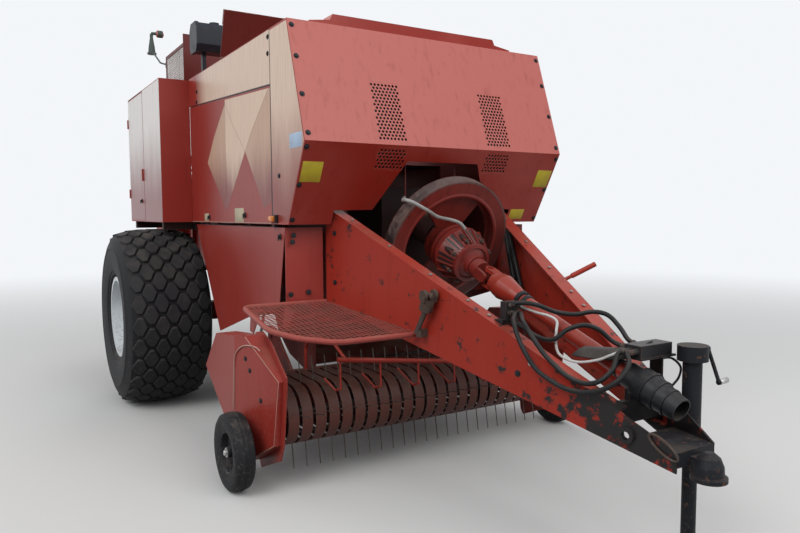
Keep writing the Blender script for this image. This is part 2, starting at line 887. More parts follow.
# Reds of the hood, of its sunny faces, of shaded frames, and of what shows under those
RED = (0.310, 0.0230, 0.0130)
SUN_RED = (0.510, 0.140, 0.118)
DEEP_RED = (0.120, 0.0140, 0.0110)
BARE_RED = (0.060, 0.034, 0.028)
FINISHES = (
    Paint("hood_red", RED, SUN_RED, bare=(0.45, 0.19, 0.16), wear=0.30, chips=0.08, gloss=0.36, sun=1.0,
          shine=0.22),
    Paint("side_red", (0.300, 0.0290, 0.0200), (0.370, 0.075, 0.062), bare=(0.30, 0.12, 0.10), wear=0.40,
          chips=0.12, gloss=0.34, shine=0.28),
    Paint("frame_red", RED, (0.350, 0.055, 0.040), bare=(0.075, 0.050, 0.043), wear=0.55, chips=0.35,
          gloss=0.38, shine=0.22),
    Paint("beam_red", (0.330, 0.0260, 0.0140), (0.360, 0.052, 0.036), bare=(0.075, 0.050, 0.043),
          wear=0.50, chips=0.08, gloss=0.36, shine=0.22, oily=(-3.05, -3.50)),
    Paint("dark_red", DEEP_RED, (0.150, 0.032, 0.026), bare=BARE_RED, wear=0.5, chips=0.35, streaks=0.4,
          dust=0.5),
    Paint("inner_red", (0.020, 0.0065, 0.0060), (0.030, 0.012, 0.011), bare=(0.022, 0.017, 0.016),
          wear=0.4, chips=0.45, streaks=0.5, dust=0.4, gloss=0.55, shine=0.2),
    Paint("drive_red", (0.235, 0.0230, 0.0160), (0.150, 0.0220, 0.0170), bare=(0.035, 0.026, 0.024),
          wear=0.9, chips=0.80, gloss=0.34, streaks=0.5, dust=0.45, earth=(0.090, 0.068, 0.055),
          shine=0.4, mottle=1.0),
    Paint("shaft_red", (0.330, 0.0300, 0.0170), (0.260, 0.0420, 0.0280), bare=(0.035, 0.026, 0.024),
          wear=0.8, chips=0.40, gloss=0.30, streaks=0.3, dust=0.25, earth=(0.12, 0.09, 0.07), shine=0.35),
    Paint("wheel_red", (0.210, 0.0230, 0.0160), (0.065, 0.0200, 0.0170), bare=(0.034, 0.026, 0.024),
          wear=0.8, chips=0.60, gloss=0.40, streaks=0.8, dust=0.5, earth=(0.075, 0.052, 0.043),
          mottle=1.0),
    Paint("rim_white", (0.78, 0.82, 0.84), (0.70, 0.74, 0.76), bare=(0.24, 0.12, 0.06), wear=0.45,
          chips=0.22, dust=0.3, splash=0.8),
    Paint("black_paint", (0.018, 0.018, 0.020), (0.030, 0.029, 0.029), bare=(0.11, 0.060, 0.038),
          wear=0.7, chips=0.50, gloss=0.42, dust=0.35, earth=(0.12, 0.10, 0.085)),
    Paint("jack_paint", (0.0100, 0.0115, 0.0150), (0.022, 0.023, 0.027), bare=(0.15, 0.070, 0.042),
          wear=0.9, chips=0.95, gloss=0.46, dust=0.5, earth=(0.10, 0.080, 0.066), mottle=0.8, shine=0.12),
    Paint("band_rust", (0.120, 0.038, 0.028), (0.070, 0.032, 0.026), bare=(0.20, 0.165, 0.15), wear=0.8,
          chips=0.6, gloss=0.46, streaks=0.6, dust=0.5, earth=(0.10, 0.080, 0.066)),
    Paint("yellow_sheet", (0.60, 0.50, 0.040), (0.52, 0.42, 0.06), bare=(0.30, 0.10, 0.06), wear=0.2,
          chips=0.1, splash=0.1),
    Paint("pale_sheet", (0.55, 0.48, 0.33), (0.46, 0.40, 0.28), bare=(0.20, 0.14, 0.10), wear=0.2,
          chips=0.3),
    Paint("blue_sheet", (0.42, 0.56, 0.74), (0.50, 0.62, 0.76), bare=(0.30, 0.12, 0.10), wear=0.1,
          chips=0.25),
    Paint("edge_pale", (0.46, 0.25, 0.20), (0.60, 0.40, 0.34), bare=(0.10, 0.06, 0.05), wear=0.2,
          chips=0.6),
    Metal("worn_steel", (0.36, 0.34, 0.32), share=0.50),
    Metal("pale_wire", (0.62, 0.60, 0.58), rust=(0.24, 0.16, 0.12), share=0.2, gloss=0.5),
    Metal("tine_steel", (0.10, 0.094, 0.088), rust=(0.060, 0.036, 0.026), share=0.70, gloss=0.44),
    Metal("bright_steel", (0.50, 0.49, 0.48), share=0.25, gloss=0.30),
    Metal("brown_steel", (0.075, 0.062, 0.055), rust=(0.050, 0.030, 0.022), share=0.75, gloss=0.45),
    Metal("rim_steel", (0.130, 0.105, 0.100), rust=(0.080, 0.048, 0.038), share=0.55, gloss=0.42),
    Rubber("tyre_rubber", (0.0125, 0.0130, 0.0150), dusty=(0.040, 0.038, 0.037), share=0.35),
    Rubber("tread_faces", (0.0200, 0.0205, 0.0225), dusty=(0.048, 0.046, 0.046), share=0.6, grain=260.0),
    Rubber("hose_rubber", (0.0110, 0.0110, 0.0120), dusty=(0.034, 0.032, 0.030), share=0.35, gloss=0.42),
    Rubber("black_plastic", (0.0150, 0.0160, 0.0190), dusty=(0.044, 0.045, 0.048), share=0.45,
           gloss=0.40),
    Rubber("blue_black_plastic", (0.0170, 0.0210, 0.0290), dusty=(0.046, 0.050, 0.060), share=0.5,
           gloss=0.36),
    Rubber("white_tape", (0.55, 0.55, 0.53), dusty=(0.26, 0.24, 0.22), share=0.55, gloss=0.5),
    Rubber("grey_stalk", (0.070, 0.090, 0.080), dusty=(0.13, 0.13, 0.12), share=0.5, gloss=0.55),
    SunFade("door_sun", (0.60, 0.385, 0.265), (0.235, 0.050, 0.045), 2.20, 1.78),
    SunFade("door_sun_light", (0.79, 0.585, 0.435), (0.255, 0.060, 0.054), 2.16, 1.80),
    SunFade("cheek_sun", (0.79, 0.595, 0.460), (0.270, 0.050, 0.040), 2.45, 1.70, (0.42, 0.02)),
    SunFade("box_sun", (0.88, 0.84, 0.80), (0.270, 0.070, 0.066), 2.55, 1.78),
    Paint("platform_red", (0.300, 0.045, 0.036), (0.340, 0.085, 0.068), bare=(0.14, 0.075, 0.055),
          wear=0.6, chips=0.40, splash=0.2, dust=0.3),
    Rubber("pale_pipe", (0.36, 0.355, 0.34), dusty=(0.19, 0.175, 0.16), share=0.6, gloss=0.42),
    Lens("amber_lens", (0.72, 0.22, 0.02)),
    Lens("red_lens", (0.40, 0.015, 0.012)),
    Lens("pink_lens", (0.42, 0.12, 0.10)),
)

# Finish of each CAD node, also of those that a piece of this file stands for
NODE_FINISH = {
    "hood_red": ("hood", "top_deck", "grilles"),
    "inner_red": ("gearbox", "body_frame", "chamber_roof"),
    "side_red": ("side_strips", "side_door_right", "side_door_left", "lower_panel_right", "lower_panel_left",
                 "twine_box_right", "twine_box_left", "twine_door_right", "twine_door_left", "shield_right",
                 "shield_left"),
    "beam_red": ("beam_right", "beam_left"),
    "frame_red": ("chamber_sides", "density_frame", "chute", "windguard"),
    "platform_red": ("platform",),
    "dark_red": ("axle", "front_frame", "knotter_cover", "top_guard", "feeder_duct", "pickup_frame"),
    "drive_red": ("slip_clutch",),
    "shaft_red": ("pto_shaft",),
    "wheel_red": ("flywheel",),
    "rim_white": ("rim_right", "rim_left"),
    "jack_paint": ("jack_tube", "jack_leg", "hitch_head", "coupling"),
    "black_paint": ("shaft_bearing", "hose_holder"),
    "band_rust": ("stripper_bands",),
    "worn_steel": ("chamber_floor", "knotters", "needle_yoke"),
    "tine_steel": ("tine_reel",),
    "brown_steel": ("stored_yoke",),
    "tyre_rubber": ("tyre_right", "tyre_left", "gauge_wheel_right", "gauge_wheel_left"),
    "hose_rubber": ("hose_long", "hose_short", "hose_right", "hose_left", "hose_taped"),
    "black_plastic": ("pto_boot",),
    "blue_black_plastic": ("oil_tank",),
    "grey_stalk": ("work_lamp",),
    "amber_lens": ("side_lamps",),
}


def finish_nodes(nodes: dict[str, Piece], finishes: Finishes) -> None:
    """Give every CAD node its finish.

    Args:
        nodes: CAD nodes by name.
        finishes: Materials by name.
    """
    for finish, names in NODE_FINISH.items():
        for name in names:
            if name not in nodes:
                log.info("node %s isn't in this frame", name)
                continue
            piece = nodes[name]
            if not piece.material_slots:
                piece.data.materials.append(finishes[finish])
            for slot in piece.material_slots:
                slot.material = finishes[finish]


# ---- Stage ----


@dataclass(frozen=True)
class Lamp:
    """One large soft lamp.

    Attributes:
        name: Name of the lamp.
        spot: Place of the lamp in metres.
        aim: Place that it shines at.
        power: Power in watts.
        size: Length of its sides in metres.
    """

    name: str
    spot: Triple
    aim: Triple
    power: float
    size: float = 9.0

    def build(self) -> None:
        """Hang the lamp."""
        data = bpy.data.lights.new(self.name, "AREA")
        data.size = self.size
        data.energy = self.power
        lamp = bpy.data.objects.new(self.name, data)
        lamp.location = self.spot
        lamp.rotation_euler = (Vector(self.aim) - Vector(self.spot)).to_track_quat("-Z", "Y").to_euler()
        bpy.context.collection.objects.link(lamp)


@dataclass
class Stage:
    """Camera, floor, world and soft lamps.

    Attributes:
        eye: Place of the camera in metres.
        yaw: Turn of the view from +Y towards +X, in degrees.
        pitch: Tilt of the view below level, in degrees.
        roll: Turn of the picture, in degrees.
        lens: Focal length in millimetres.
        sensor: Width of the sensor in millimetres.
        pale: Colour of the floor as the camera sees it.
        dark: Colour of the floor for the light that it throws up.
        backdrop: Colour of the world, and of the floor far out.
        veil: Where the floor starts to turn into the backdrop and where it has, in metres from the middle.
        glow: Strength of the world for the light that it throws on the object.
        lamps: The lamps: a key one at the right, one ahead and one behind.
    """

    eye: Triple = (-2.601, -5.542, 1.680)
    yaw: float = 31.463
    pitch: float = 4.368
    roll: float = -0.251
    lens: float = 31.02
    sensor: float = 36.0
    pale: Colour = (0.66, 0.66, 0.65)
    dark: Colour = (0.16, 0.15, 0.145)
    backdrop: Colour = (0.90, 0.92, 0.95)
    veil: Pair = (4.5, 17.0)
    glow: float = 0.55
    lamps: tuple[Lamp, ...] = (
        Lamp("key", (-11.0, -5.5, 11.0), (0, -0.5, 1.2), 1120.0),
        Lamp("front", (2.5, -12.0, 9.5), (0, -1.0, 1.2), 700.0),
        Lamp("rear", (5.5, 11.0, 10.5), (0, 1.0, 1.2), 560.0))

    def camera(self) -> None:
        """Set the camera at the photograph's viewpoint."""
        yaw, pitch, roll = (math.radians(v) for v in (self.yaw, self.pitch, self.roll))
        ahead = Vector((math.sin(yaw) * math.cos(pitch), math.cos(yaw) * math.cos(pitch), -math.sin(pitch)))
        level = Vector((math.cos(yaw), -math.sin(yaw), 0))
        across = level * math.cos(roll) + level.cross(ahead) * math.sin(roll)
        turn = Matrix((across, across.cross(ahead), -ahead)).transposed().to_4x4()
        data = bpy.data.cameras.new("camera")
        data.lens = self.lens
        data.sensor_width = self.sensor
        data.clip_end = 200.0
        camera = bpy.data.objects.new("camera", data)
        camera.matrix_world = Matrix.Translation(self.eye) @ turn
        bpy.context.collection.objects.link(camera)
        bpy.context.scene.camera = camera

    @staticmethod
    def seen(graph: Graph) -> Socket:
        """Give 1 for the rays that show the backdrop: the camera's, and those of metal and glass.

        Args:
            graph: Graph of the material or the world.

        Returns:
            The mask of those rays.
        """
        rays = graph.add("LightPath").outputs
        mirrored = graph.most(rays["Is Glossy Ray"], rays["Is Transmission Ray"])
        return graph.most(rays["Is Camera Ray"], mirrored)

    def floor(self) -> None:
        """Lay the plain pale floor, which throws little light up and fades into the backdrop far out."""
        deselect()
        bpy.ops.mesh.primitive_plane_add(size=400, location=(0, 0, -0.0005))
        floor = settle("floor")
        material, graph, shader = new_material("pale_floor")
        where = graph.add("TexCoord").outputs["Object"]
        far = graph.add("VectorMath", {0: where}, operation="LENGTH").outputs["Value"]
        seen = self.seen(graph)
        veil = graph.times(graph.step(far, *self.veil), seen)
        graph.feed(shader, {
            "Base Color": graph.blend(veil, graph.blend(seen, self.dark, self.pale), (0.0, 0.0, 0.0)),
            "Emission Strength": veil, "Emission Color": (*self.backdrop, 1.0),
            "Roughness": 0.9, "Specular IOR Level": 0.0})
        floor.data.materials.append(material)

    def world(self) -> None:
        """Set a pale world that lights softly and shows a pale backdrop behind the object."""
        world = bpy.data.worlds.new("studio")
        bpy.context.scene.world = world
        world.use_nodes = True
        graph = Graph(world.node_tree)
        strength = graph.plus(self.glow, graph.times(self.seen(graph), 1.0 - self.glow))
        back = world.node_tree.nodes["Background"]
        graph.feed(back, {"Color": (*self.backdrop, 1.0), "Strength": strength})

    def build(self) -> None:
        """Set the stage round the object."""
        bpy.context.scene.view_settings.view_transform = "Standard"
        self.floor()
        self.world()
        for lamp in self.lamps:
            lamp.build()


# ---- Sub-assemblies ----


def twinned(half: Sequence[Pair]) -> list[Pair]:
    """Profile of both halves of a wheel, from the points of its outer half."""
    return [(r, -z) for r, z in half] + [(r, z) for r, z in reversed(half)]


def polar(radius: float, angle: float, height: float) -> Vector:
    """Place on a cylinder round Z."""
    return Vector((radius * math.cos(angle), radius * math.sin(angle), height))


@dataclass
class Trim:
    """Sub-assembly that is built round the CAD frame.

    Attributes:
        finishes: Materials by name.
    """

    finishes: Finishes


@dataclass
class MainTyre(Trim):
    """Flotation tyre with staggered six-sided blocks over an open carcass.

    Attributes:
        side: Side of the machine.
        radius: Radius at the crown.
        width: Width over the sidewalls.
        rim_radius: Radius under the bead.
        depth: Depth of the blocks.
        track: Distance from the machine's middle to the tyre's.
        rows: Blocks round the tyre in one column.
        columns: Place across and drop from the crown of each column.
        long: Length of a block round the tyre.
        wide: Width of a block between its points.
        short: Width of a block's flat ends.
    """

    side: Side
    radius: float = 0.777
    width: float = 0.710
    rim_radius: float = 0.332
    depth: float = 0.028
    track: float = 1.255
    rows: int = 26
    columns: tuple[Pair, ...] = (
        (-0.264, 0.030), (-0.176, 0.009), (-0.088, 0.002), (0, 0), (0.088, 0.002), (0.176, 0.009),
        (0.264, 0.030))
    long: float = 0.156
    wide: float = 0.124
    short: float = 0.044

    def wheel_frame(self) -> Matrix:
        """Frame at the wheel's middle whose Z points outwards along the axle."""
        middle = place(0, 0, 1000 * self.radius) + Vector((self.side.value * self.track, 0, 0))
        return axis_frame(middle, Vector((self.side.value, 0, 0)))

    def block(self) -> Piece:
        """Model one block at the crown, its faces curved round the tyre.

        Returns:
            The block.
        """
        deselect()
        bpy.ops.mesh.primitive_grid_add(x_subdivisions=2, y_subdivisions=1, size=2)
        piece = settle("tread_block")
        with edit_all():
            bpy.ops.mesh.extrude_region_move(TRANSFORM_OT_translate={"value": (0, 0, 1)})
        for vertex in piece.data.vertices:
            along, across, up = vertex.co
            half = self.wide / 2 if abs(along) < 0.5 else self.short / 2
            top = up > 0.5
            shrink = 0.94 if top else 1.06
            radius = self.radius if top else self.radius - self.depth - 0.012
            vertex.co = polar(radius, shrink * along * self.long / 2 / self.radius,
                              shrink * half * math.copysign(1, across))
        return round_edges(piece, 0.005, segments=1, angle=30)

    def tread(self) -> Piece:
        """Set the blocks round the tyre, every second column half a step on.

        Returns:
            The tread, round Z.
        """
        frames = []
        for column, (across, drop) in enumerate(self.columns):
            lean = math.copysign(min(abs(drop) * 9, 0.30), across)
            for row in range(self.rows):
                turn = Matrix.Rotation((row + column % 2 / 2) * 2 * math.pi / self.rows, 4, "Z")
                crown = Matrix.Translation((self.radius - drop, 0, across)) @ Matrix.Rotation(-lean, 4, "Y")
                frames.append(turn @ crown @ Matrix.Translation((-self.radius, 0, 0)))
        return joined("tread", copies(self.block(), frames))

    def carcass(self) -> Piece:
        """Turn the open carcass with its bead, sidewall steps and crown.

        Returns:
            The carcass, round Z.
        """
        w, r, bead, base = self.width / 2, self.radius, self.rim_radius, self.radius - self.depth
        outer = [(bead + 0.001, 0.75 * w), (bead + 0.001, 0.83 * w), (bead + 0.036, 0.83 * w),
                 (bead + 0.052, 0.905 * w), (bead + 0.075, 0.925 * w), (bead + 0.080, 0.945 * w),
                 (0.60 * r, 0.975 * w), (0.70 * r, 0.995 * w), (0.765 * r, 0.990 * w), (0.772 * r, w),
                 (0.79 * r, w), (0.797 * r, 0.985 * w), (0.86 * r, 0.955 * w), (0.915 * r, 0.895 * w),
                 (base - 0.016, 0.72 * w), (base - 0.004, 0.50 * w), (base, 0.22 * w), (base, 0)]
        inner = [(base - 0.055, 0), (base - 0.06, 0.55 * w), (0.80 * r, 0.85 * w), (0.62 * r, 0.88 * w),
                 (bead + 0.04, 0.78 * w)]
        profile = ([(a, -b) for a, b in outer[:-1]] + [(a, b) for a, b in reversed(outer)]
                   + [(a, b) for a, b in reversed(inner)] + [(a, -b) for a, b in inner[1:]])
        return turned("carcass", profile, Matrix.Identity(4), 96)

    def build(self) -> None:
        """Join tread and carcass and hang the tyre on its wheel."""
        carcass, tread = self.carcass(), self.tread()
        carcass.data.materials.append(self.finishes["tyre_rubber"])
        tread.data.materials.append(self.finishes["tread_faces"])
        tyre = joined(f"tyre_tread_{self.side.word}", [carcass, tread])
        tyre.data.transform(self.wheel_frame())
        dress(tyre, None, f"wheel_{self.side.word}", "tyre_rubber", f"tyre_{self.side.word}")


@dataclass
class WheelTrim(Trim):
    """Nuts, hub cap and valve on a main wheel's disc.

    Attributes:
        side: Side of the machine.
        nuts: Number of wheel nuts.
        circle: Radius of the nuts' circle.
        face: Height of the disc's face over the wheel's middle at that circle.
        dish: Slope of the disc there, in radians.
        hub_top: Height of the hub's end face.
    """

    side: Side
    nuts: int = 10
    circle: float = 0.140
    face: float = 0.0917
    dish: float = 0.27
    hub_top: float = 0.195

    def build(self) -> None:
        """Model the trim round Z and hang it on the wheel."""
        seat = Matrix.Translation((self.circle, 0, self.face)) @ Matrix.Rotation(-self.dish, 4, "Y")
        nuts = copies(bolt("nut", 0.017, 0.022, 0.030),
                      [Matrix.Rotation(2 * math.pi * k / self.nuts, 4, "Z") @ seat for k in range(self.nuts)])
        cap = turned("hub_cap", [(0, -0.001), (0.046, -0.001), (0.050, 0.006), (0.050, 0.020), (0.040, 0.030),
                                 (0.012, 0.033), (0, 0.033)], Matrix.Translation((0, 0, self.hub_top)), 28)
        valve = rod("valve", Vector((0.256, 0.020, 0.104)), Vector((0.263, 0.020, 0.152)), 0.006, 8, 0.001)
        trim = joined(f"wheel_nuts_{self.side.word}", [cap, valve] + nuts)
        trim.data.transform(MainTyre(self.finishes, self.side).wheel_frame())
        dress(trim, self.finishes["rim_white"], f"wheel_{self.side.word}", "rim_paint")


def bolt(name: str, radius: float, height: float, washer: float = 0.0) -> Piece:
    """Model a six-sided bolt head on its washer at the origin, pointing up.

    Args:
        name: Name of the piece.
        radius: Radius over the head's corners.
        height: Height of the head over the washer.
        washer: Radius of the washer.

    Returns:
        The bolt head.
    """
    deselect()
    bpy.ops.mesh.primitive_cylinder_add(vertices=6, radius=radius, depth=height, location=(0, 0, height / 2))
    head = round_edges(settle(name), 0.12 * radius, 1)
    if washer <= 0:
        return head
    disc = rod(name + "_washer", Vector((0, 0, -0.001)), Vector((0, 0, 0.0022)), washer, 14)
    return joined(name, [head, disc])


class Head(Enum):
    """Kind of fastener, with its radius, height, washer and finish."""

    SMALL = (0.007, 0.005, 0.011, "worn_steel")
    DARK = (0.011, 0.008, 0.017, "black_plastic")


@dataclass(frozen=True)
class Fastener:
    """One fastener on a face.

    Attributes:
        where: Place in millimetres from the axle.
        out: Direction out of the face.
        head: Kind of head.
        body: CAD body that carries it.
    """

    where: Triple
    out: Triple
    head: Head
    body: str = "baler"


def both_sides(rows: Iterable[Fastener]) -> list[Fastener]:
    """Repeat fasteners on the other side, on that side's body.

    Args:
        rows: Fasteners of the right side.

    Returns:
        The fasteners of both sides.
    """
    twins = []
    for row in rows:
        twins.append(row)
        x, y, z = row.where
        u, v, w = row.out
        twins.append(Fastener((-x, y, z), (-u, v, w), row.head, row.body.replace("_right", "_left")))
    return twins


def set_fasteners(rows: Sequence[Fastener], finishes: Finishes) -> None:
    """Model the fasteners, one piece for each body and kind.

    Args:
        rows: Every fastener.
        finishes: Materials by name.
    """
    for body in sorted({row.body for row in rows}):
        for head in Head:
            mine = [row for row in rows if row.body == body and row.head is head]
            if not mine:
                continue
            *sizes, finish = head.value
            frames = [axis_frame(place(*row.where), Vector(row.out)) for row in mine]
            piece = joined(f"bolts_{head.name.lower()}_{body}", copies(bolt("bolt", *sizes), frames))
            dress(piece, finishes[finish], body, "black_paint")


@dataclass
class Hose:
    """Hydraulic hose or taped cable that hangs from the clamp to the coupler block.

    Attributes:
        node: CAD node that it stands for, which also gives its name.
        diameter: Outer diameter in metres.
        finish: Name of its finish.
        route: Points on its middle line, in millimetres from the axle.
        steps: Steps of the curve between two points.
    """

    node: str
    diameter: float
    finish: str
    route: tuple[Triple, ...]
    steps: int = 6

    def build(self, finishes: Finishes) -> None:
        """Args:
            finishes: Materials by name.
        """
        points = smooth_route([place(*point) for point in self.route], self.steps)
        hose = pipe_curve("cord_" + self.node, points, self.diameter / 2, 12)
        dress(hose, finishes[self.finish], "baler", "hose_rubber", self.node)


HOSE_D = 0.024  # outer diameter of a hydraulic hose, in metres
CABLE_D = 0.014  # outer diameter of the taped cable, in metres
HOSES = (
    Hose("hose_long", HOSE_D, "hose_rubber", (
        (-280, -3800, 1170), (-292, -3850, 1170), (-346, -3908, 1140), (-366, -3985, 1045),
        (-352, -4065, 945), (-325, -4140, 895), (-300, -4230, 865), (-275, -4315, 865),
        (-250, -4395, 890), (-205, -4455, 945), (-140, -4450, 1005), (-98, -4402, 1040),
        (-62, -4402, 1040))),
    Hose("hose_short", HOSE_D, "hose_rubber", (
        (-244, -3800, 1170), (-250, -3850, 1168), (-306, -3925, 1152), (-332, -4010, 1100),
        (-326, -4075, 1035), (-315, -4140, 980), (-295, -4225, 925), (-270, -4310, 905),
        (-245, -4375, 925), (-190, -4400, 975), (-125, -4370, 1030), (-92, -4366, 1040),
        (-62, -4366, 1040))),
    Hose("hose_right", HOSE_D, "hose_rubber", (
        (-262, -3800, 1142), (-255, -3860, 1105), (-225, -3960, 1060), (-200, -4040, 1060),
        (-155, -4085, 1110), (-100, -4140, 1135), (-45, -4185, 1115), (0, -4220, 1065), (25, -4260, 1042),
        (30, -4298, 1040))),
    Hose("hose_left", HOSE_D, "hose_rubber", (
        (-280, -3800, 1206), (-260, -3850, 1225), (-190, -3900, 1215), (-90, -3930, 1175), (0, -3980, 1160),
        (55, -4050, 1178), (100, -4110, 1165), (120, -4170, 1110), (112, -4230, 1058), (100, -4298, 1040))),
    Hose("hose_taped", CABLE_D, "white_tape", (
        (-244, -3800, 1206), (-232, -3840, 1200), (-190, -3900, 1176), (-150, -3945, 1162),
        (-135, -3990, 1140), (-160, -4015, 1100), (-178, -4030, 1040), (-184, -4065, 985),
        (-158, -4150, 962), (-112, -4240, 982), (-92, -4295, 1010), (-66, -4337, 1034),
        (-31, -4338, 1040))),
)


@dataclass
class SideSheets(Trim):
    """Sun-bleached livery sheets on one side of the body.

    Attributes:
        side: Side of the machine.
        door_x: Place of the body's side face, in millimetres.
        box_x: Place of the twine box's side face, in millimetres.
        lift: Height of a sheet's underside over its panel, in millimetres.
        thick: Thickness of a sheet, in millimetres.
    """

    side: Side
    door_x: float = BODY_X
    box_x: float = 1244.0
    lift: float = 0.15
    thick: float = 0.45

    def sheet(self, name: str, x: float, outline: Sequence[Pair], finish: Material, body: str) -> None:
        """Lay one sheet on a side face.

        Args:
            name: Name of the piece, without its side.
            x: Place of the face, in millimetres from the middle.
            outline: Corners as Y and Z, in millimetres from the axle.
            finish: Finish of the sheet.
            body: CAD body that carries it.
        """
        sign = self.side.value
        corners = [place(sign * (x + self.lift), y, z) for y, z in outline]
        piece = plate(f"{name}_{self.side.word}", corners, Vector((sign * self.thick * MM, 0, 0)))
        dress(piece, finish, body, "red_paint")

    def build(self) -> None:
        """Lay the sheets of the door, the strip over it, the hood's cheek and the twine box."""
        door, box = f"side_door_{self.side.word}", f"twine_door_{self.side.word}"
        for name, x, finish, body, outline in (
                ("door_lozenge_rear", self.door_x, "door_sun", door,
                 ((-911, 2097), (-1100, 2285), (-1388, 2500), (-1388, 1728), (-1366, 1712))),
                ("door_lozenge_front", self.door_x, "door_sun_light", door,
                 ((-1390, 1712), (-1390, 2500), (-1560, 2330), (-1820, 2118))),
                ("door_field", self.door_x, "door_sun_light", door,
                 ((-1392, 2502), (-1392, 2530), (-2290, 2478), (-1985, 2262), (-1822, 2120), (-1562, 2333))),
                ("door_wedge", self.door_x, "door_sun", door,
                 ((-1824, 2118), (-1987, 2260), (-2296, 2478), (-2314, 2478), (-2314, 1760), (-2176, 1722))),
                ("strip_sheet", self.door_x, "cheek_sun", "baler",
                 ((-622, 2599), (-2316, 2501), (-2316, 2835), (-622, 2835))),
                ("door_gap", self.door_x, "black_plastic", "baler",
                 ((-2316, 1640), (-2316, 2828), (-2325, 2828), (-2331, 1640))),
                ("hinge_gap", self.door_x, "black_plastic", "baler",
                 ((-420, 2600), (-2314, 2491), (-2314, 2500), (-420, 2609))),
                ("cheek_sheet", self.door_x, "cheek_sun", "baler",
                 ((-2332, 1640), (-2326, 2828), (-2597, 2828), (-2836, 2102), (-2588, 1640))),
                ("box_sheet_front", self.box_x, "box_sun", "baler",
                 ((-400, 1625), (-400, 2826), (284, 2826), (284, 1625))),
                ("box_sheet_rear", self.box_x, "box_sun", box,
                 ((300, 1640), (300, 2815), (972, 2815), (972, 1640)))):
            self.sheet(name, x, outline, self.finishes[finish], body)


class HoodSheet(Enum):
    """Sheet of the hood, with its lean in degrees."""

    UPPER = 71.517
    LOWER = 118.739

    @property
    def frame(self) -> Matrix:
        """Frame at the fold between the sheets: X across, Y up along the sheet, Z out of it."""
        return Matrix.Translation(place(0, -2850, 2102)) @ Matrix.Rotation(math.radians(self.value), 4, "X")


@dataclass
class Grilles(Trim):
    """Perforated plates let into the hood.

    Attributes:
        low_edges: Inner edge X of each plate, in millimetres.
        width: Width of a plate, in millimetres.
        pitch: Distance between holes, in millimetres.
        hole: Diameter of a hole, in millimetres.
        spans: Lowest and highest place of the plates along the upper and the lower sheet.
        screen: Places of a dark screen's faces behind its plate, in millimetres.
    """

    low_edges: Pair = (-500, 334)
    width: float = 208
    pitch: float = 25.9
    hole: float = 18.0
    spans: tuple[Pair, ...] = ((20, 420), (-170, -20))
    screen: Pair = (-19, -17)

    def perforated(self, x: float, low: float, high: float) -> Piece:
        """Model one plate with its staggered holes.

        Args:
            x: Lower edge across, in millimetres.
            low: Lower edge along the sheet, in millimetres.
            high: Upper edge along the sheet, in millimetres.

        Returns:
            The plate, level and at the fold.
        """
        base = block("grille", Vector((x + 0.3, low + 0.3, -3)) * MM,
                     Vector((x + self.width - 0.3, high - 0.3, -0.2)) * MM, 0)
        step = self.pitch * math.sqrt(3) / 2
        rows = int((high - low - self.pitch) / step) + 1
        start = (high + low - (rows - 1) * step) / 2
        frames = []
        for row in range(rows):
            count = 8 if row % 2 == 0 else 7
            first = x + self.width / 2 - (count - 1) * self.pitch / 2
            frames += [Matrix.Translation(Vector((first + k * self.pitch, start + row * step, -1.5)) * MM)
                       for k in range(count)]
        deselect()
        bpy.ops.mesh.primitive_cylinder_add(vertices=10, radius=self.hole / 2 * MM, depth=12 * MM)
        punch = joined("punch", copies(settle("punch"), frames))
        activate(base)
        cut = base.modifiers.new("holes", "BOOLEAN")
        cut.operation = "DIFFERENCE"
        cut.solver = "EXACT"
        cut.object = punch
        bpy.ops.object.modifier_apply(modifier=cut.name)
        bpy.data.objects.remove(punch)
        return base

    def build(self) -> None:
        """Model the four plates in place of the plain ones."""
        plates, screens = [], []
        for sheet, (low, high) in zip(HoodSheet, self.spans):
            for x in self.low_edges:
                plates.append(self.perforated(x, low, high))
                screens.append(block("screen", Vector((x - 6, low, self.screen[0])) * MM,
                                     Vector((x + self.width + 6, high, self.screen[1])) * MM, 0))
                for piece in (plates[-1], screens[-1]):
                    piece.data.transform(sheet.frame)
        dress(joined("hood_grilles", plates), self.finishes["hood_red"], "baler", "red_paint", "grilles")
        dress(joined("grille_screens", screens), self.finishes["black_plastic"], "baler", "black_plastic")


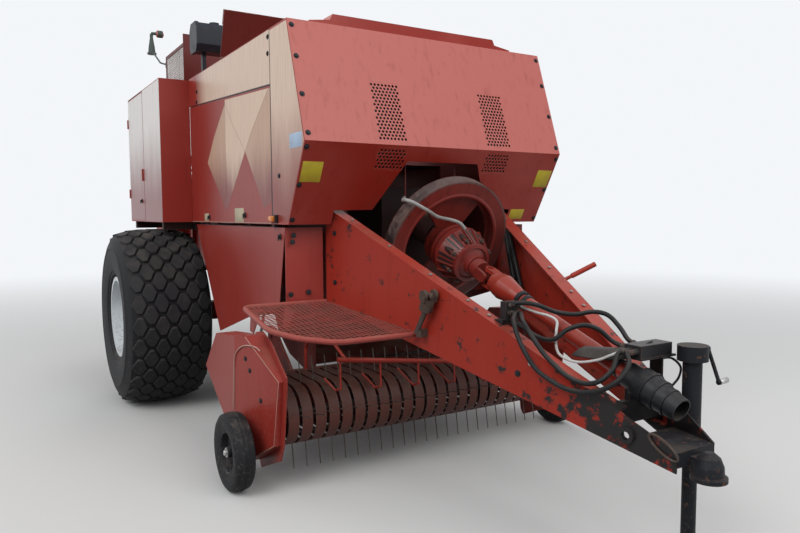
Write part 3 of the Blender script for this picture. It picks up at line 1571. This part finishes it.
@dataclass
class HoodTrim(Trim):
    """Blank plates of the hood, the doors and the cheeks.

    Attributes:
        lift: Height of a plate's underside over its sheet, in millimetres.
        thick: Thickness of a plate, in millimetres.
    """

    lift: float = 0.2
    thick: float = 0.9

    def tag(self, name: str, frame: Matrix, xs: Pair, ys: Pair, finish: Material, body: str) -> None:
        """Lay a thin blank plate on a face.

        Args:
            name: Name of the piece.
            frame: Frame of the face, with Z out of it.
            xs: Its edges across the face in any order, in millimetres.
            ys: Its lower and upper edge, in millimetres.
            finish: Finish of the plate.
            body: CAD body that carries it.
        """
        left, right = sorted(xs)
        piece = block(name, Vector((left, ys[0], self.lift)) * MM,
                      Vector((right, ys[1], self.lift + self.thick)) * MM, 0.0003)
        piece.data.transform(frame)
        dress(piece, finish, body, "red_paint")

    def build(self) -> None:
        """Lay the plates."""
        lower = HoodSheet.LOWER.frame
        yellow, pale, blue = (self.finishes[name] for name in ("yellow_sheet", "pale_sheet", "blue_sheet"))
        for side in Side:
            s = side.value
            self.tag(f"warning_blank_{side.word}", lower, (s * 844, s * 976), (-264, -131), yellow, "baler")
        self.tag("small_blank", lower, (723, 850), (-526, -447), yellow, "baler")
        for side in Side:
            s, word, door = side.value, side.word, f"side_door_{side.word}"
            face = (Matrix.Translation(place(s * BODY_X, 0, 0)) @ Matrix.Rotation(s * math.pi / 2, 4, "Z")
                    @ Matrix.Rotation(math.pi / 2, 4, "X"))
            self.tag(f"door_blank_0_{word}", face, (s * -904, s * -785), (1629, 1690), pale, door)
            self.tag(f"door_blank_1_{word}", face, (s * -1766, s * -1571), (1625, 1726), pale, door)
            self.tag(f"cheek_blank_{word}", face, (s * -2806, s * -2622), (2070, 2157), blue, "baler")


@dataclass
class Platform(Trim):
    """Step platform: bent tube ring, expanded-metal floor and gussets.

    Attributes:
        plan: Corners of the ring, in millimetres from the axle.
        height: Height of the ring's rear end.
        rear: Y of the ring's rear end.
        tilt: Fall towards the front, in degrees.
        tube: Radius of the ring's tube.
        strand: Distance between the floor's strands.
        slant: Slant of the strands to the machine's width, in degrees.
        section: Half the width and half the height of a strand.
    """

    plan: tuple[Pair, ...] = (
        (-714, -2520), (-1262, -2520), (-1280, -3000), (-1180, -3170), (-1010, -3290), (-510, -3290))
    height: float = 1123
    rear: float = -2520
    tilt: float = 8.6
    tube: float = 16
    strand: float = 24
    slant: float = 24
    section: Pair = (1.7, 1.3)

    def frame(self) -> Matrix:
        """Frame of the floor, in metres."""
        tilt = Matrix.Rotation(math.radians(self.tilt), 4, "X")
        return Matrix.Translation(place(0, self.rear, self.height)) @ tilt

    def corners(self) -> list[Vector]:
        """Corners of the floor in its own frame, in millimetres."""
        return [Vector((x, (y - self.rear) / math.cos(math.radians(self.tilt)), 0)) for x, y in self.plan]

    @staticmethod
    def clip(start: Vector, way: Vector, corners: Sequence[Vector]) -> Pair | None:
        """Find where a line runs inside a convex outline.

        Args:
            start: Point on the line.
            way: Direction of the line.
            corners: Corners of the outline.

        Returns:
            First and last distance along the line, or None where it misses.
        """
        hits = []
        for a, b in zip(corners, list(corners[1:]) + [corners[0]]):
            edge = b - a
            cross = way.x * edge.y - way.y * edge.x
            if abs(cross) < 1e-9:
                continue
            gap = a - start
            t = (gap.x * edge.y - gap.y * edge.x) / cross
            u = (gap.x * way.y - gap.y * way.x) / cross
            if -1e-9 <= u <= 1 + 1e-9:
                hits.append(t)
        return (min(hits), max(hits)) if len(hits) > 1 and max(hits) - min(hits) > 12 else None

    def floor(self) -> list[Piece]:
        """Model both families of slanting strands, clipped to the ring.

        Returns:
            The strands, in the floor's own frame.
        """
        corners = self.corners()
        middle = sum(corners, Vector()) / len(corners)
        wide, high = self.section
        strands = []
        for sign, lift in ((1, 0.0), (-1, 2.2)):
            angle = math.radians(sign * self.slant)
            way = Vector((math.cos(angle), math.sin(angle), 0))
            step = Vector((-way.y, way.x, 0)) * self.strand
            for k in range(-40, 41):
                start = middle + step * k
                span = self.clip(start, way, corners)
                if span is None:
                    continue
                a, b = start + way * span[0], start + way * span[1]
                far_corner = Vector(((b - a).length, wide, high))
                strip = block("strand", Vector((0, -wide, -high)) * MM, far_corner * MM, 0)
                turn = Matrix.Rotation(angle, 4, "Z") @ Matrix.Rotation(angle, 4, "X")
                strip.data.transform(Matrix.Translation((a + Vector((0, 0, 3 + lift))) * MM) @ turn)
                strands.append(strip)
        return strands

    def build(self) -> None:
        """Model the platform in place of the plain one."""
        corners = self.corners()
        ring = pipe("ring", self.rounded(corners), self.tube * MM, 1, 16)
        parts = [ring] + self.floor()
        for x in (-1215, -1000):
            outline = [Vector((x, y, z)) * MM for y, z in ((2, -6), (-150, -6), (-60, -150), (2, -150))]
            parts.append(plate("gusset", outline, Vector((5 * MM, 0, 0)), 0.0008))
        deck = joined("platform_deck", parts)
        deck.data.transform(self.frame())
        dress(deck, self.finishes["platform_red"], "baler", "red_paint", "platform")

    def rounded(self, corners: Sequence[Vector]) -> list[Vector]:
        """Cut each corner of the ring by a short round bend, in metres.

        Args:
            corners: Corners of the ring, in millimetres.

        Returns:
            The route of the ring's tube.
        """
        route = [corners[0] * MM]
        for a, b, c in zip(corners, corners[1:], corners[2:]):
            reach = min(60.0, (b - a).length / 2.2, (c - b).length / 2.2)
            first, last = b + (a - b).normalized() * reach, b + (c - b).normalized() * reach
            for k in range(7):
                t = k / 6
                route.append((first * (1 - t) ** 2 + b * 2 * t * (1 - t) + last * t * t) * MM)
        route.append(corners[-1] * MM)
        return route


DRIVE_FALL = 23.5  # fall of the flywheel's axis towards the front, in degrees
SHAFT_FALL = 20.0  # fall of the drawbar shaft, in degrees


def drive_frame() -> Matrix:
    """Frame on the flywheel's axis: origin at its front face, Z forward along the axis."""
    return Matrix.Translation(place(0, -2885, 1473)) @ Matrix.Rotation(math.radians(90 + DRIVE_FALL), 4, "X")


def shaft_frame() -> Matrix:
    """Frame on the drawbar shaft's axis: origin at the joint, Z forward along the shaft."""
    joint = drive_frame() @ Vector((0, 0, 0.430))
    return Matrix.Translation(joint) @ Matrix.Rotation(math.radians(90 + SHAFT_FALL), 4, "X")


def drive_turn(angle: float) -> Matrix:
    """Frame on the flywheel's axis, turned round it by an angle in degrees."""
    return drive_frame() @ Matrix.Rotation(math.radians(angle), 4, "Z")


@dataclass
class Flywheel(Trim):
    """Worn tread and lip of the flywheel.

    Attributes:
        radius: Radius of the flywheel.
        width: Width of its rim.
    """

    radius: float = 0.440
    width: float = 0.096

    def build(self) -> None:
        """Turn the tread and the lip."""
        r, w = self.radius, self.width
        band = turned("flywheel_tread", [
            (r - 0.010, 0.0004), (r - 0.003, 0.0006), (r + 0.0006, -0.003), (r + 0.0006, -w + 0.003),
            (r - 0.003, -w - 0.0006), (r - 0.010, -w - 0.0004), (r - 0.010, -w + 0.001),
            (r - 0.0005, -w + 0.004), (r - 0.0005, -0.004), (r - 0.010, -0.001)], drive_frame(), 96)
        dress(band, self.finishes["rim_steel"], "flywheel", "worn_steel")
        lip = turned("flywheel_lip", [
            (0.336, 0.0003), (0.344, 0.003), (0.352, 0.003), (0.360, 0.0003), (0.360, -0.001),
            (0.336, -0.001)],
            drive_frame(), 72)
        dress(lip, self.finishes["drive_red"], "flywheel", "red_paint")


@dataclass
class Clutch(Trim):
    """Studs, springs, fins, slots and ring of the slip clutch.

    Attributes:
        studs: Number of studs; there are twice as many fins.
        circle: Radius of the studs' circle.
        stud_top: Height of the studs' heads along the axis.
        coil: Radius, wire radius, start and rise of a spring.
        turns: Turns of a spring.
        fin: Outline of a fin as radius and height.
        fin_width: Thickness of a fin.
        slot: Outline of a slot's dark floor as radius, place across and height.
    """

    studs: int = 8
    circle: float = 0.146
    stud_top: float = 0.2095
    coil: tuple[float, ...] = (0.0165, 0.0036, 0.118, 0.078)
    turns: int = 6
    fin: tuple[Pair, ...] = ((0.150, 0.114), (0.180, 0.114), (0.182, 0.128), (0.136, 0.234), (0.112, 0.238))
    fin_width: float = 0.006
    slot: tuple[Triple, ...] = (
        (0.1705, -0.0075, 0.116), (0.1705, 0.0075, 0.116), (0.1275, 0.0055, 0.218), (0.1275, -0.0055, 0.218))

    def stud(self, turn: Matrix) -> Piece:
        """Model a stud's head and thread.

        Args:
            turn: Frame on the flywheel's axis, turned to the stud.

        Returns:
            The stud.
        """
        thread = rod("thread", Vector((0, 0, 0.012)), Vector((0, 0, 0.030)), 0.007, 10, 0.001)
        piece = joined("stud", [bolt("stud", 0.014, 0.013), thread])
        piece.data.transform(turn @ Matrix.Translation((self.circle, 0, self.stud_top)))
        return piece

    def spring(self, turn: Matrix) -> Piece:
        """Model the spring under a stud.

        Args:
            turn: Frame on the flywheel's axis, turned to the stud.

        Returns:
            The spring.
        """
        radius, wire, start, rise = self.coil
        points = []
        for k in range(8 * self.turns + 1):
            a = math.pi / 4 * k
            points.append(Vector((self.circle + radius * math.cos(a), radius * math.sin(a),
                                  start + rise * a / (2 * self.turns * math.pi))))
        piece = pipe("spring", points, wire, 1, 8)
        piece.data.transform(turn)
        return piece

    def build(self) -> None:
        """Model the clutch's trim, which turns with the flywheel."""
        pitch = 360 / self.studs
        studs, springs, fins, slots = [], [], [], []
        for k in range(self.studs):
            turn = drive_turn(pitch / 2 + pitch * k)
            studs.append(self.stud(turn))
            springs.append(self.spring(turn))
        dress(joined("clutch_studs", studs), self.finishes["brown_steel"], "flywheel", "worn_steel")
        dress(joined("clutch_springs", springs), self.finishes["black_paint"], "flywheel", "black_paint")
        ring = turned("clutch_ring", [
            (0.118, 0.232), (0.128, 0.236), (0.128, 0.252), (0.106, 0.258),
            (0.100, 0.252)], drive_frame(), 48)
        dress(ring, self.finishes["drive_red"], "flywheel", "red_paint")
        for k in range(2 * self.studs):
            turn = drive_turn(pitch / 4 + pitch / 2 * k)
            outline = [turn @ Vector((r, -self.fin_width / 2, z)) for r, z in self.fin]
            fins.append(plate("fin", outline, turn.to_3x3() @ Vector((0, self.fin_width, 0))))
            turn = turn @ Matrix.Rotation(math.radians(5.6 if k % 2 else -5.6), 4, "Z")
            outline = [turn @ Vector(corner) for corner in self.slot]
            slots.append(plate("slot", outline, turn.to_3x3() @ Vector((0.0012, 0, 0.0005))))
        dress(joined("clutch_fins", fins), self.finishes["drive_red"], "flywheel", "red_paint")
        dress(joined("clutch_slots", slots), self.finishes["black_paint"], "flywheel", "black_paint")


@dataclass
class DriveTrim(Trim):
    """Collars of the shaft, and the pipe, stays and struts round the flywheel.

    Attributes:
        collars: Outer radius and place along the shaft of each collar.
        pipe_route: Points on the clutch's oil pipe, in millimetres from the axle.
        stays: X of each upright stay under the hood, in millimetres.
        struts: Ends and radius of each strut between front frame and beam.
    """

    collars: tuple[Pair, ...] = ((0.052, 0.302), (0.047, 0.345), (0.047, 1.045))
    pipe_route: tuple[Triple, ...] = (
        (-232, -2700, 1782), (-300, -2790, 1766), (-375, -2925, 1762), (-440, -3045, 1762),
        (-408, -3085, 1745), (-320, -3100, 1699), (-246, -3100, 1661), (-153, -3100, 1643),
        (-84, -3100, 1622), (-46, -3104, 1586))
    stays: Pair = (-226, 167)
    struts: tuple[tuple[Triple, Triple, float], ...] = (
        ((626, -2686, 1566), (578, -2866, 1122), 0.020), ((612, -2736, 1560), (553, -2960, 1122), 0.017))

    def build(self) -> None:
        """Model the trim on its bodies."""
        collars = [turned("collar", [(0.0402, u), (high, u + 0.004), (high, u + 0.026), (0.0402, u + 0.030)],
                          shaft_frame(), 32) for high, u in self.collars]
        dress(joined("shaft_collars", collars), self.finishes["black_plastic"], "pto_shaft", "black_plastic")
        over = pipe("clutch_oil_pipe", [place(*point) for point in self.pipe_route], 0.011, 5, 12)
        dress(over, self.finishes["pale_pipe"], "baler", "black_paint")
        stays = [rod("stay", place(x, -2700, 1782), place(x, -2700, 2535), 0.005, 8) for x in self.stays]
        dress(joined("hood_stays", stays), self.finishes["dark_red"], "baler", "dark_red_paint")
        struts = [rod("strut", place(*top), place(*foot), radius, 16, 0.002)
                  for top, foot, radius in self.struts]
        dress(joined("drawbar_struts", struts), self.finishes["black_paint"], "baler", "black_paint")


@dataclass
class PickupTrim(Trim):
    """Panel, worn edge and rod of a pickup shield, and its gauge wheel.

    Attributes:
        side: Side of the machine.
        radius: Radius of the gauge wheel.
        width: Width of the gauge wheel.
        slope: How far the shield's face leans outwards along the machine.
        normal: X and Y of the direction out of the shield's face.
    """

    side: Side
    radius: float = 0.240
    width: float = 0.125
    slope: float = 12 / 49
    normal: Pair = (0.971, -0.238)

    def gauge_wheel(self) -> None:
        """Turn the gauge wheel's tyre and rim in place of the plain one."""
        r, w = self.radius, self.width / 2
        word, body = self.side.word, f"gauge_wheel_{self.side.word}"
        frame = axis_frame(place(self.side.value * 1322.5, -2475, 1000 * r), Vector((self.side.value, 0, 0)))
        tyre = turned("gauge_tyre", twinned([
            (0.128, 0.8 * w), (0.140, 0.86 * w), (0.186, w), (r - 0.025, 0.98 * w), (r - 0.009, 0.80 * w),
            (r - 0.004, 0.45 * w), (r, 0.16 * w), (r - 0.005, 0.08 * w)]), frame, 48)
        tyre.data.materials.append(self.finishes["tyre_rubber"])
        rim = turned("gauge_rim", [
            (0.0165, -0.045), (0.034, -0.045), (0.034, -0.010), (0.110, -0.006), (0.118, -0.046),
            (0.1275, -0.052), (0.1275, 0.052), (0.118, 0.046), (0.110, 0.006), (0.062, 0.004),
            (0.050, 0.014), (0.034, 0.016), (0.034, 0.042), (0.028, 0.047), (0.0165, 0.047)], frame, 48)
        rim.data.materials.append(self.finishes["black_plastic"])
        wheel = joined(f"gauge_wheel_detail_{word}", [tyre, rim])
        dress(wheel, None, body, "tyre_rubber", f"gauge_wheel_{word}")
        nut = bolt("nut", 0.019, 0.016, 0.030)
        nut.data.transform(frame @ Matrix.Translation((0, 0, 0.0485)))
        nut.name = nut.data.name = f"gauge_nut_{word}"
        dress(nut, self.finishes["bright_steel"], body, "worn_steel")

    def on_shield(self, y: float, z: float, out: float = 0.0) -> Vector:
        """Place on the shield's slanting face, or so many millimetres out of it."""
        u, v = self.normal
        return place(self.side.value * (1250 + (y + 2300) * self.slope + u * out), y + v * out, z)

    def build(self) -> None:
        """Model the shield's panel, worn edge and rod, and its wheel."""
        s, word = self.side.value, self.side.word
        self.gauge_wheel()
        outline = ((-2380, 900), (-2420, 922), (-2752, 697), (-2735, 560), (-2560, 528), (-2405, 795),
                   (-2368, 862))
        panel = plate(f"shield_panel_{word}", [self.on_shield(y, z, 0.2) for y, z in outline],
                      Vector((s * self.normal[0], self.normal[1], 0)) * 1.6 * MM)
        dress(panel, self.finishes["side_red"], "pickup", "red_paint")
        worn = pipe(f"shield_edge_{word}", [self.on_shield(y, z) for y, z in (
            (-2420, 926), (-2757, 699), (-2698, 302), (-2404, 134))], 0.0026, 1, 8)
        dress(worn, self.finishes["edge_pale"], "pickup", "red_paint")
        edge = pipe(f"shield_rod_{word}", [place(s * x, y, z) for x, y, z in (
            (1186, -2590, 862), (1200, -2530, 880), (1228, -2420, 872), (1250, -2330, 820),
            (1256, -2300, 740), (1257, -2285, 600), (1257, -2268, 440))], 0.0038, 5, 8)
        dress(edge, self.finishes["edge_pale"], "pickup", "red_paint")


def beam_face(side: Side, y: float, z: float, out: float = 0.0) -> Triple:
    """Place in millimetres on a drawbar beam's outer face, or so far out of it."""
    return side.value * (130 + (y + 4700) * math.tan(BEAM_ANGLE) + out / math.cos(BEAM_ANGLE)), y, z


@dataclass
class NoseTrim(Trim):
    """Hose sleeves, crank grip, loop, strap and rubber flap at the drawbar's nose.

    Attributes:
        jack_x: X of the jack's axis, in millimetres.
        crank_y: Y of the crank's grip, in millimetres from the axle.
        loop_half: Half the length and half the width of the loop on the beam, in millimetres.
        loop_middle: Y and Z of the loop's middle.
        loop_lean: Lean of the loop, in degrees.
        strap_route: Points on the strap.
        flap_corners: Corners of the flap, the rear edge first.
    """

    jack_x: float = 130 + 192 * math.tan(BEAM_ANGLE) + 50
    crank_y: float = -4564
    loop_half: Pair = (74, 25)
    loop_middle: Pair = (-4650, 683)
    loop_lean: float = 36
    strap_route: tuple[Triple, ...] = (
        (79, -4450, 1006), (150, -4452, 1000), (222, -4450, 951), (212, -4450, 900), (168, -4450, 868))
    flap_corners: tuple[Triple, ...] = (
        (-150, -4110, 985), (10, -4120, 1000), (-60, -4400, 1010), (110, -4380, 1072))

    @staticmethod
    def sleeves() -> list[Piece]:
        """Model the crimped sleeve at each end of each hose.

        Returns:
            The sleeves.
        """
        made = []
        for hose in HOSES:
            points = smooth_route([place(*point) for point in hose.route], hose.steps)
            radius = hose.diameter / 2
            inner, low, high = radius + 0.0002, radius + 0.0018, radius + 0.003
            profile = [(inner, 0.0), (high, 0.001), (high, 0.010), (low, 0.012), (low, 0.022), (high, 0.024),
                       (high, 0.034), (inner, 0.036)]
            for end, near in ((points[0], points[6]), (points[-1], points[-7])):
                made.append(turned("sleeve", profile, axis_frame(end, (near - end).normalized()), 12))
        return made

    def loop(self) -> Piece:
        """Bend the oval loop that lies on the right beam.

        Returns:
            The loop.
        """
        lean = math.radians(self.loop_lean)
        route = []
        for k in range(25):
            u = self.loop_half[0] * math.cos(math.pi / 12 * k)
            v = self.loop_half[1] * math.sin(math.pi / 12 * k)
            y = self.loop_middle[0] - u * math.cos(lean) + v * math.sin(lean)
            z = self.loop_middle[1] - u * math.sin(lean) - v * math.cos(lean)
            route.append(place(*beam_face(Side.RIGHT, y, z, 9)))
        return pipe("nose_loop", route, 0.0065, 1, 10)

    def flap(self) -> Piece:
        """Model the worn rubber flap over the shaft's end, sagging between its edges.

        Returns:
            The flap.
        """
        deselect()
        bpy.ops.mesh.primitive_grid_add(x_subdivisions=10, y_subdivisions=12, size=2)
        piece = settle("rubber_flap")
        rear_right, rear_left, front_right, front_left = (Vector(corner) for corner in self.flap_corners)
        for vertex in piece.data.vertices:
            u, v = (vertex.co.x + 1) / 2, (vertex.co.y + 1) / 2
            spot = rear_right.lerp(rear_left, u).lerp(front_right.lerp(front_left, u), v)
            spot.z += 26 * math.sin(math.pi * u) * (1 - 0.4 * v) - 12 * math.sin(math.pi * v)
            vertex.co = place(*spot)
        activate(piece)
        wall = piece.modifiers.new("wall", "SOLIDIFY")
        wall.thickness = 0.005
        bpy.ops.object.modifier_apply(modifier=wall.name)
        return round_edges(piece, 0)

    def build(self) -> None:
        """Model the nose's trim."""
        dress(joined("hose_sleeves", self.sleeves()), self.finishes["brown_steel"], "baler", "black_paint")
        grip = rod("crank_grip", place(self.jack_x + 126, self.crank_y, 880.5),
                   place(self.jack_x + 184, self.crank_y, 885.2), 0.0145, 20, 0.002)
        dress(grip, self.finishes["bright_steel"], "baler", "worn_steel")
        dress(self.loop(), self.finishes["brown_steel"], "baler", "worn_steel")
        strap = pipe("hose_strap", [place(*point) for point in self.strap_route], 0.006, 5, 8)
        dress(strap, self.finishes["hose_rubber"], "baler", "hose_rubber")
        dress(self.flap(), self.finishes["hose_rubber"], "baler", "hose_rubber")


@dataclass
class Lamps(Trim):
    """Side markers, tail lamps and the marker on its stalk.

    Attributes:
        tail: Middle height, height and finish of each lens of a tail lamp, in millimetres.
        stalk: X of each cap of the stalk's marker and the way that it faces.
    """

    tail: tuple[tuple[float, float, str], ...] = ((1236, 62, "red_lens"), (1302, 38, "amber_lens"))
    stalk: tuple[tuple[float, int], ...] = ((-893.5, 1), (-940.5, -1))

    def build(self) -> None:
        """Model every lamp."""
        for side in Side:
            word = side.word
            base = sided_block(f"marker_base_{word}", side, (990.3, -2420, 1627), (1008, -2340, 1677), 0.004)
            dress(base, self.finishes["black_plastic"], "baler", "black_plastic")
            lens = sided_block(f"marker_lens_{word}", side, (1008, -2413, 1632), (1034, -2347, 1672), 0.009)
            dress(lens, self.finishes["amber_lens"], "baler", "amber_lens", "side_lamps")
            lenses = []
            for z, high, finish in self.tail:
                lens = sided_block("tail_lens", side, (1100, 2010, z - high / 2), (1220, 2030, z + high / 2),
                                   0.008)
                lens.data.materials.append(self.finishes[finish])
                lenses.append(lens)
            dress(joined(f"tail_lamp_{word}", lenses), None, "baler", "amber_lens")
        profile = [(0, 0), (0.033, 0), (0.033, 0.006), (0.024, 0.013), (0.010, 0.016), (0, 0.016)]
        caps = [turned("cap", profile, axis_frame(place(x, 950, 3530), Vector((way, 0, 0))), 24)
                for x, way in self.stalk]
        dress(joined("stalk_lens", caps), self.finishes["pink_lens"], "baler", "amber_lens")


@dataclass
class PanelFittings(Trim):
    """Latches, hinge rods and worn lips of the doors and panels on one side.

    Attributes:
        side: Side of the machine.
        latches: Name, face X, Y, Z and body of each latch; the side's word ends the name of a door.
        hinge_x: X of the door's axis.
        hinge_rise: Rise of the door's axis along the machine.
        hinge_shares: Places of the hinges along the door.
    """

    side: Side
    latches: tuple[tuple[str, float, float, float, str], ...] = (
        ("door_latch_rear", BODY_X, -926, 1660, "side_door"),
        ("door_latch_front", BODY_X, -1796, 1676, "side_door"),
        ("panel_latch", 970, -2401, 1539, "baler"), ("box_latch", 1244, 420, 1813, "twine_door"))
    hinge_x: float = 988
    hinge_rise: float = 0.058
    hinge_shares: tuple[float, ...] = (0.08, 0.36, 0.64, 0.92)

    def latch(self, name: str, x: float, y: float, z: float, finish: Material, body: str) -> None:
        """Model a quarter-turn latch on a side face.

        Args:
            name: Name of the piece, without its side.
            x: Place of the face, in millimetres from the middle.
            y: Place along the machine, in millimetres from the axle.
            z: Height in millimetres.
            finish: Finish of the latch.
            body: CAD body that carries it.
        """
        s = self.side.value
        base = turned("latch", [
            (0, 0.0002), (0.021, 0.0002), (0.021, 0.004), (0.018, 0.007), (0.011, 0.008), (0.011, 0.014),
            (0.008, 0.016), (0, 0.016)], axis_frame(place(s * x, y, z), Vector((s, 0, 0))), 24)
        grip = sided_block("grip", self.side, (x + 13, y - 5, z - 26), (x + 19, y + 5, z + 12), 0.002)
        dress(joined(f"{name}_{self.side.word}", [base, grip]), finish, body, "black_plastic")

    def build(self) -> None:
        """Model the fittings."""
        s, word = self.side.value, self.side.word
        for name, x, y, z, body in self.latches:
            body = body if body == "baler" else f"{body}_{word}"
            self.latch(name, x, y, z, self.finishes["black_plastic"], body)
        x, hinges = s * self.hinge_x, []
        for share in self.hinge_shares:
            y = -2320 + share * 1907
            z = 2600 + (y + 407) * self.hinge_rise + 3
            hinges.append(rod("hinge", place(x, y - 55, z - 55 * self.hinge_rise),
                              place(x, y + 55, z + 55 * self.hinge_rise), 0.0026, 10, 0.0005))
        dress(joined(f"door_hinges_{word}", hinges), self.finishes["side_red"], "baler", "red_paint")
        lip = pipe(f"door_lip_{word}", [place(s * 992, -2312, 1622), place(s * 992, -420, 1622)], 0.003, 1, 8)
        dress(lip, self.finishes["edge_pale"], f"side_door_{word}", "red_paint")


@dataclass
class GuardMesh(Trim):
    """Fine wire mesh over the openings of a top guard's side.

    Attributes:
        side: Side of the machine.
        x: Place of the upright wires, in millimetres from the middle.
        ys: Where the mesh starts and ends along the machine, in millimetres from the axle.
        zs: Where it starts and ends in height.
        pitch: Distance between wires, in millimetres.
        wire: Radius of a wire, in millimetres.
    """

    side: Side
    x: float = 947
    ys: Pair = (-100, 534)
    zs: Pair = (2853, 3196)
    pitch: float = 20
    wire: float = 2.5

    def build(self) -> None:
        """Cross the upright wires with the level ones, which lie further out."""
        x, out = (self.side.value * (self.x + depth * self.wire) for depth in (0, 1.8))
        (y0, y1), (z0, z1) = self.ys, self.zs
        ends = []
        for k in range(int((y1 - y0) / self.pitch) + 1):
            ends.append(((x, y0 + k * self.pitch, z0), (x, y0 + k * self.pitch, z1)))
        for k in range(int((z1 - z0) / self.pitch) + 1):
            ends.append(((out, y0, z0 + k * self.pitch), (out, y1, z0 + k * self.pitch)))
        wires = [rod("wire", place(*start), place(*end), self.wire * MM, 6) for start, end in ends]
        mesh = joined(f"guard_mesh_{self.side.word}", wires)
        dress(mesh, self.finishes["pale_wire"], "baler", "worn_steel")


def on_hood(sheet: HoodSheet, x: float, y: float) -> Fastener:
    """Set a dark fastener on a sheet of the hood, at millimetres across and up from its fold.

    Args:
        sheet: Sheet of the hood.
        x: Place across the machine, in millimetres from its middle.
        y: Place up along the sheet, in millimetres from the fold.

    Returns:
        The fastener.
    """
    spot = (sheet.frame @ (Vector((x, y, 0)) * MM)) / MM
    out = sheet.frame.to_3x3() @ Vector((0, 0, 1))
    return Fastener((spot.x, spot.y - AXLE_Y, spot.z), tuple(out), Head.DARK)


def on_beam_top(y: float) -> Fastener:
    """Set a small fastener on the right beam's upper edge.

    Args:
        y: Place along the machine, in millimetres from the axle.

    Returns:
        The fastener.
    """
    along = (-2520 - y) / math.cos(BEAM_ANGLE)
    x = beam_face(Side.RIGHT, y, 0, -45)[0]
    return Fastener((x, y, 1730 - 930 * along / 1990.8), (0, -0.42, 0.907), Head.SMALL)


def trim_fasteners() -> list[Fastener]:
    """List the fasteners that the photograph shows, and their twins on the other side.

    Returns:
        The fasteners.
    """
    beam_out = (-math.cos(BEAM_ANGLE), -math.sin(BEAM_ANGLE), 0)
    rows = [on_hood(HoodSheet.UPPER, -964, y) for y in (737, 532, 289, 47)]
    rows += [on_hood(HoodSheet.LOWER, -972, y) for y in (-40, -284, -519)]
    rows += [Fastener((-BODY_X, y, z), (-1, 0, 0), Head.DARK) for y, z in (
        (-2296, 2795), (-2290, 2693), (-646, 2702), (-636, 2618), (-2450, 1918))]
    rows += [Fastener((x, -2489 + 0.09 * (x + 710), z), (-0.09, -1, 0), Head.DARK) for x, z in (
        (-925, 1549), (-934, 1508), (-826, 1188), (-951, 1180))]
    rows += [Fastener(where, (-0.97, -0.238, 0), Head.DARK, "pickup") for where in (
        (-1220.2, -2421, 790), (-1209.3, -2466, 722), (-1182.7, -2575, 555))]
    rows += [on_beam_top(y) for y in (-2700, -3013, -3323, -3579, -3714)]
    rows += [Fastener(beam_face(Side.RIGHT, y, z), beam_out, head) for y, z, head in (
        (-3929, 884, Head.DARK), (-3998, 944, Head.SMALL), (-2600, 1250, Head.DARK),
        (-2600, 1560, Head.DARK))]
    return both_sides(rows)


def main() -> None:
    """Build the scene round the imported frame."""
    logging.basicConfig(level=logging.INFO, format="%(name)s: %(message)s")
    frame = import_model()
    stage = Stage()
    stage.camera()
    groups = Groups()
    finishes = {finish.name: finish.build(groups) for finish in FINISHES}
    for hose in HOSES:
        hose.build(finishes)
    finish_nodes(frame["nodes"], finishes)
    for side in Side:
        for kind in (MainTyre, WheelTrim, SideSheets, PickupTrim, PanelFittings, GuardMesh):
            kind(finishes, side).build()
    for kind in (Grilles, HoodTrim, Platform, Flywheel, Clutch, DriveTrim, NoseTrim, Lamps):
        kind(finishes).build()
    set_fasteners(trim_fasteners(), finishes)
    stage.build()


if __name__ == "__main__":
    main()
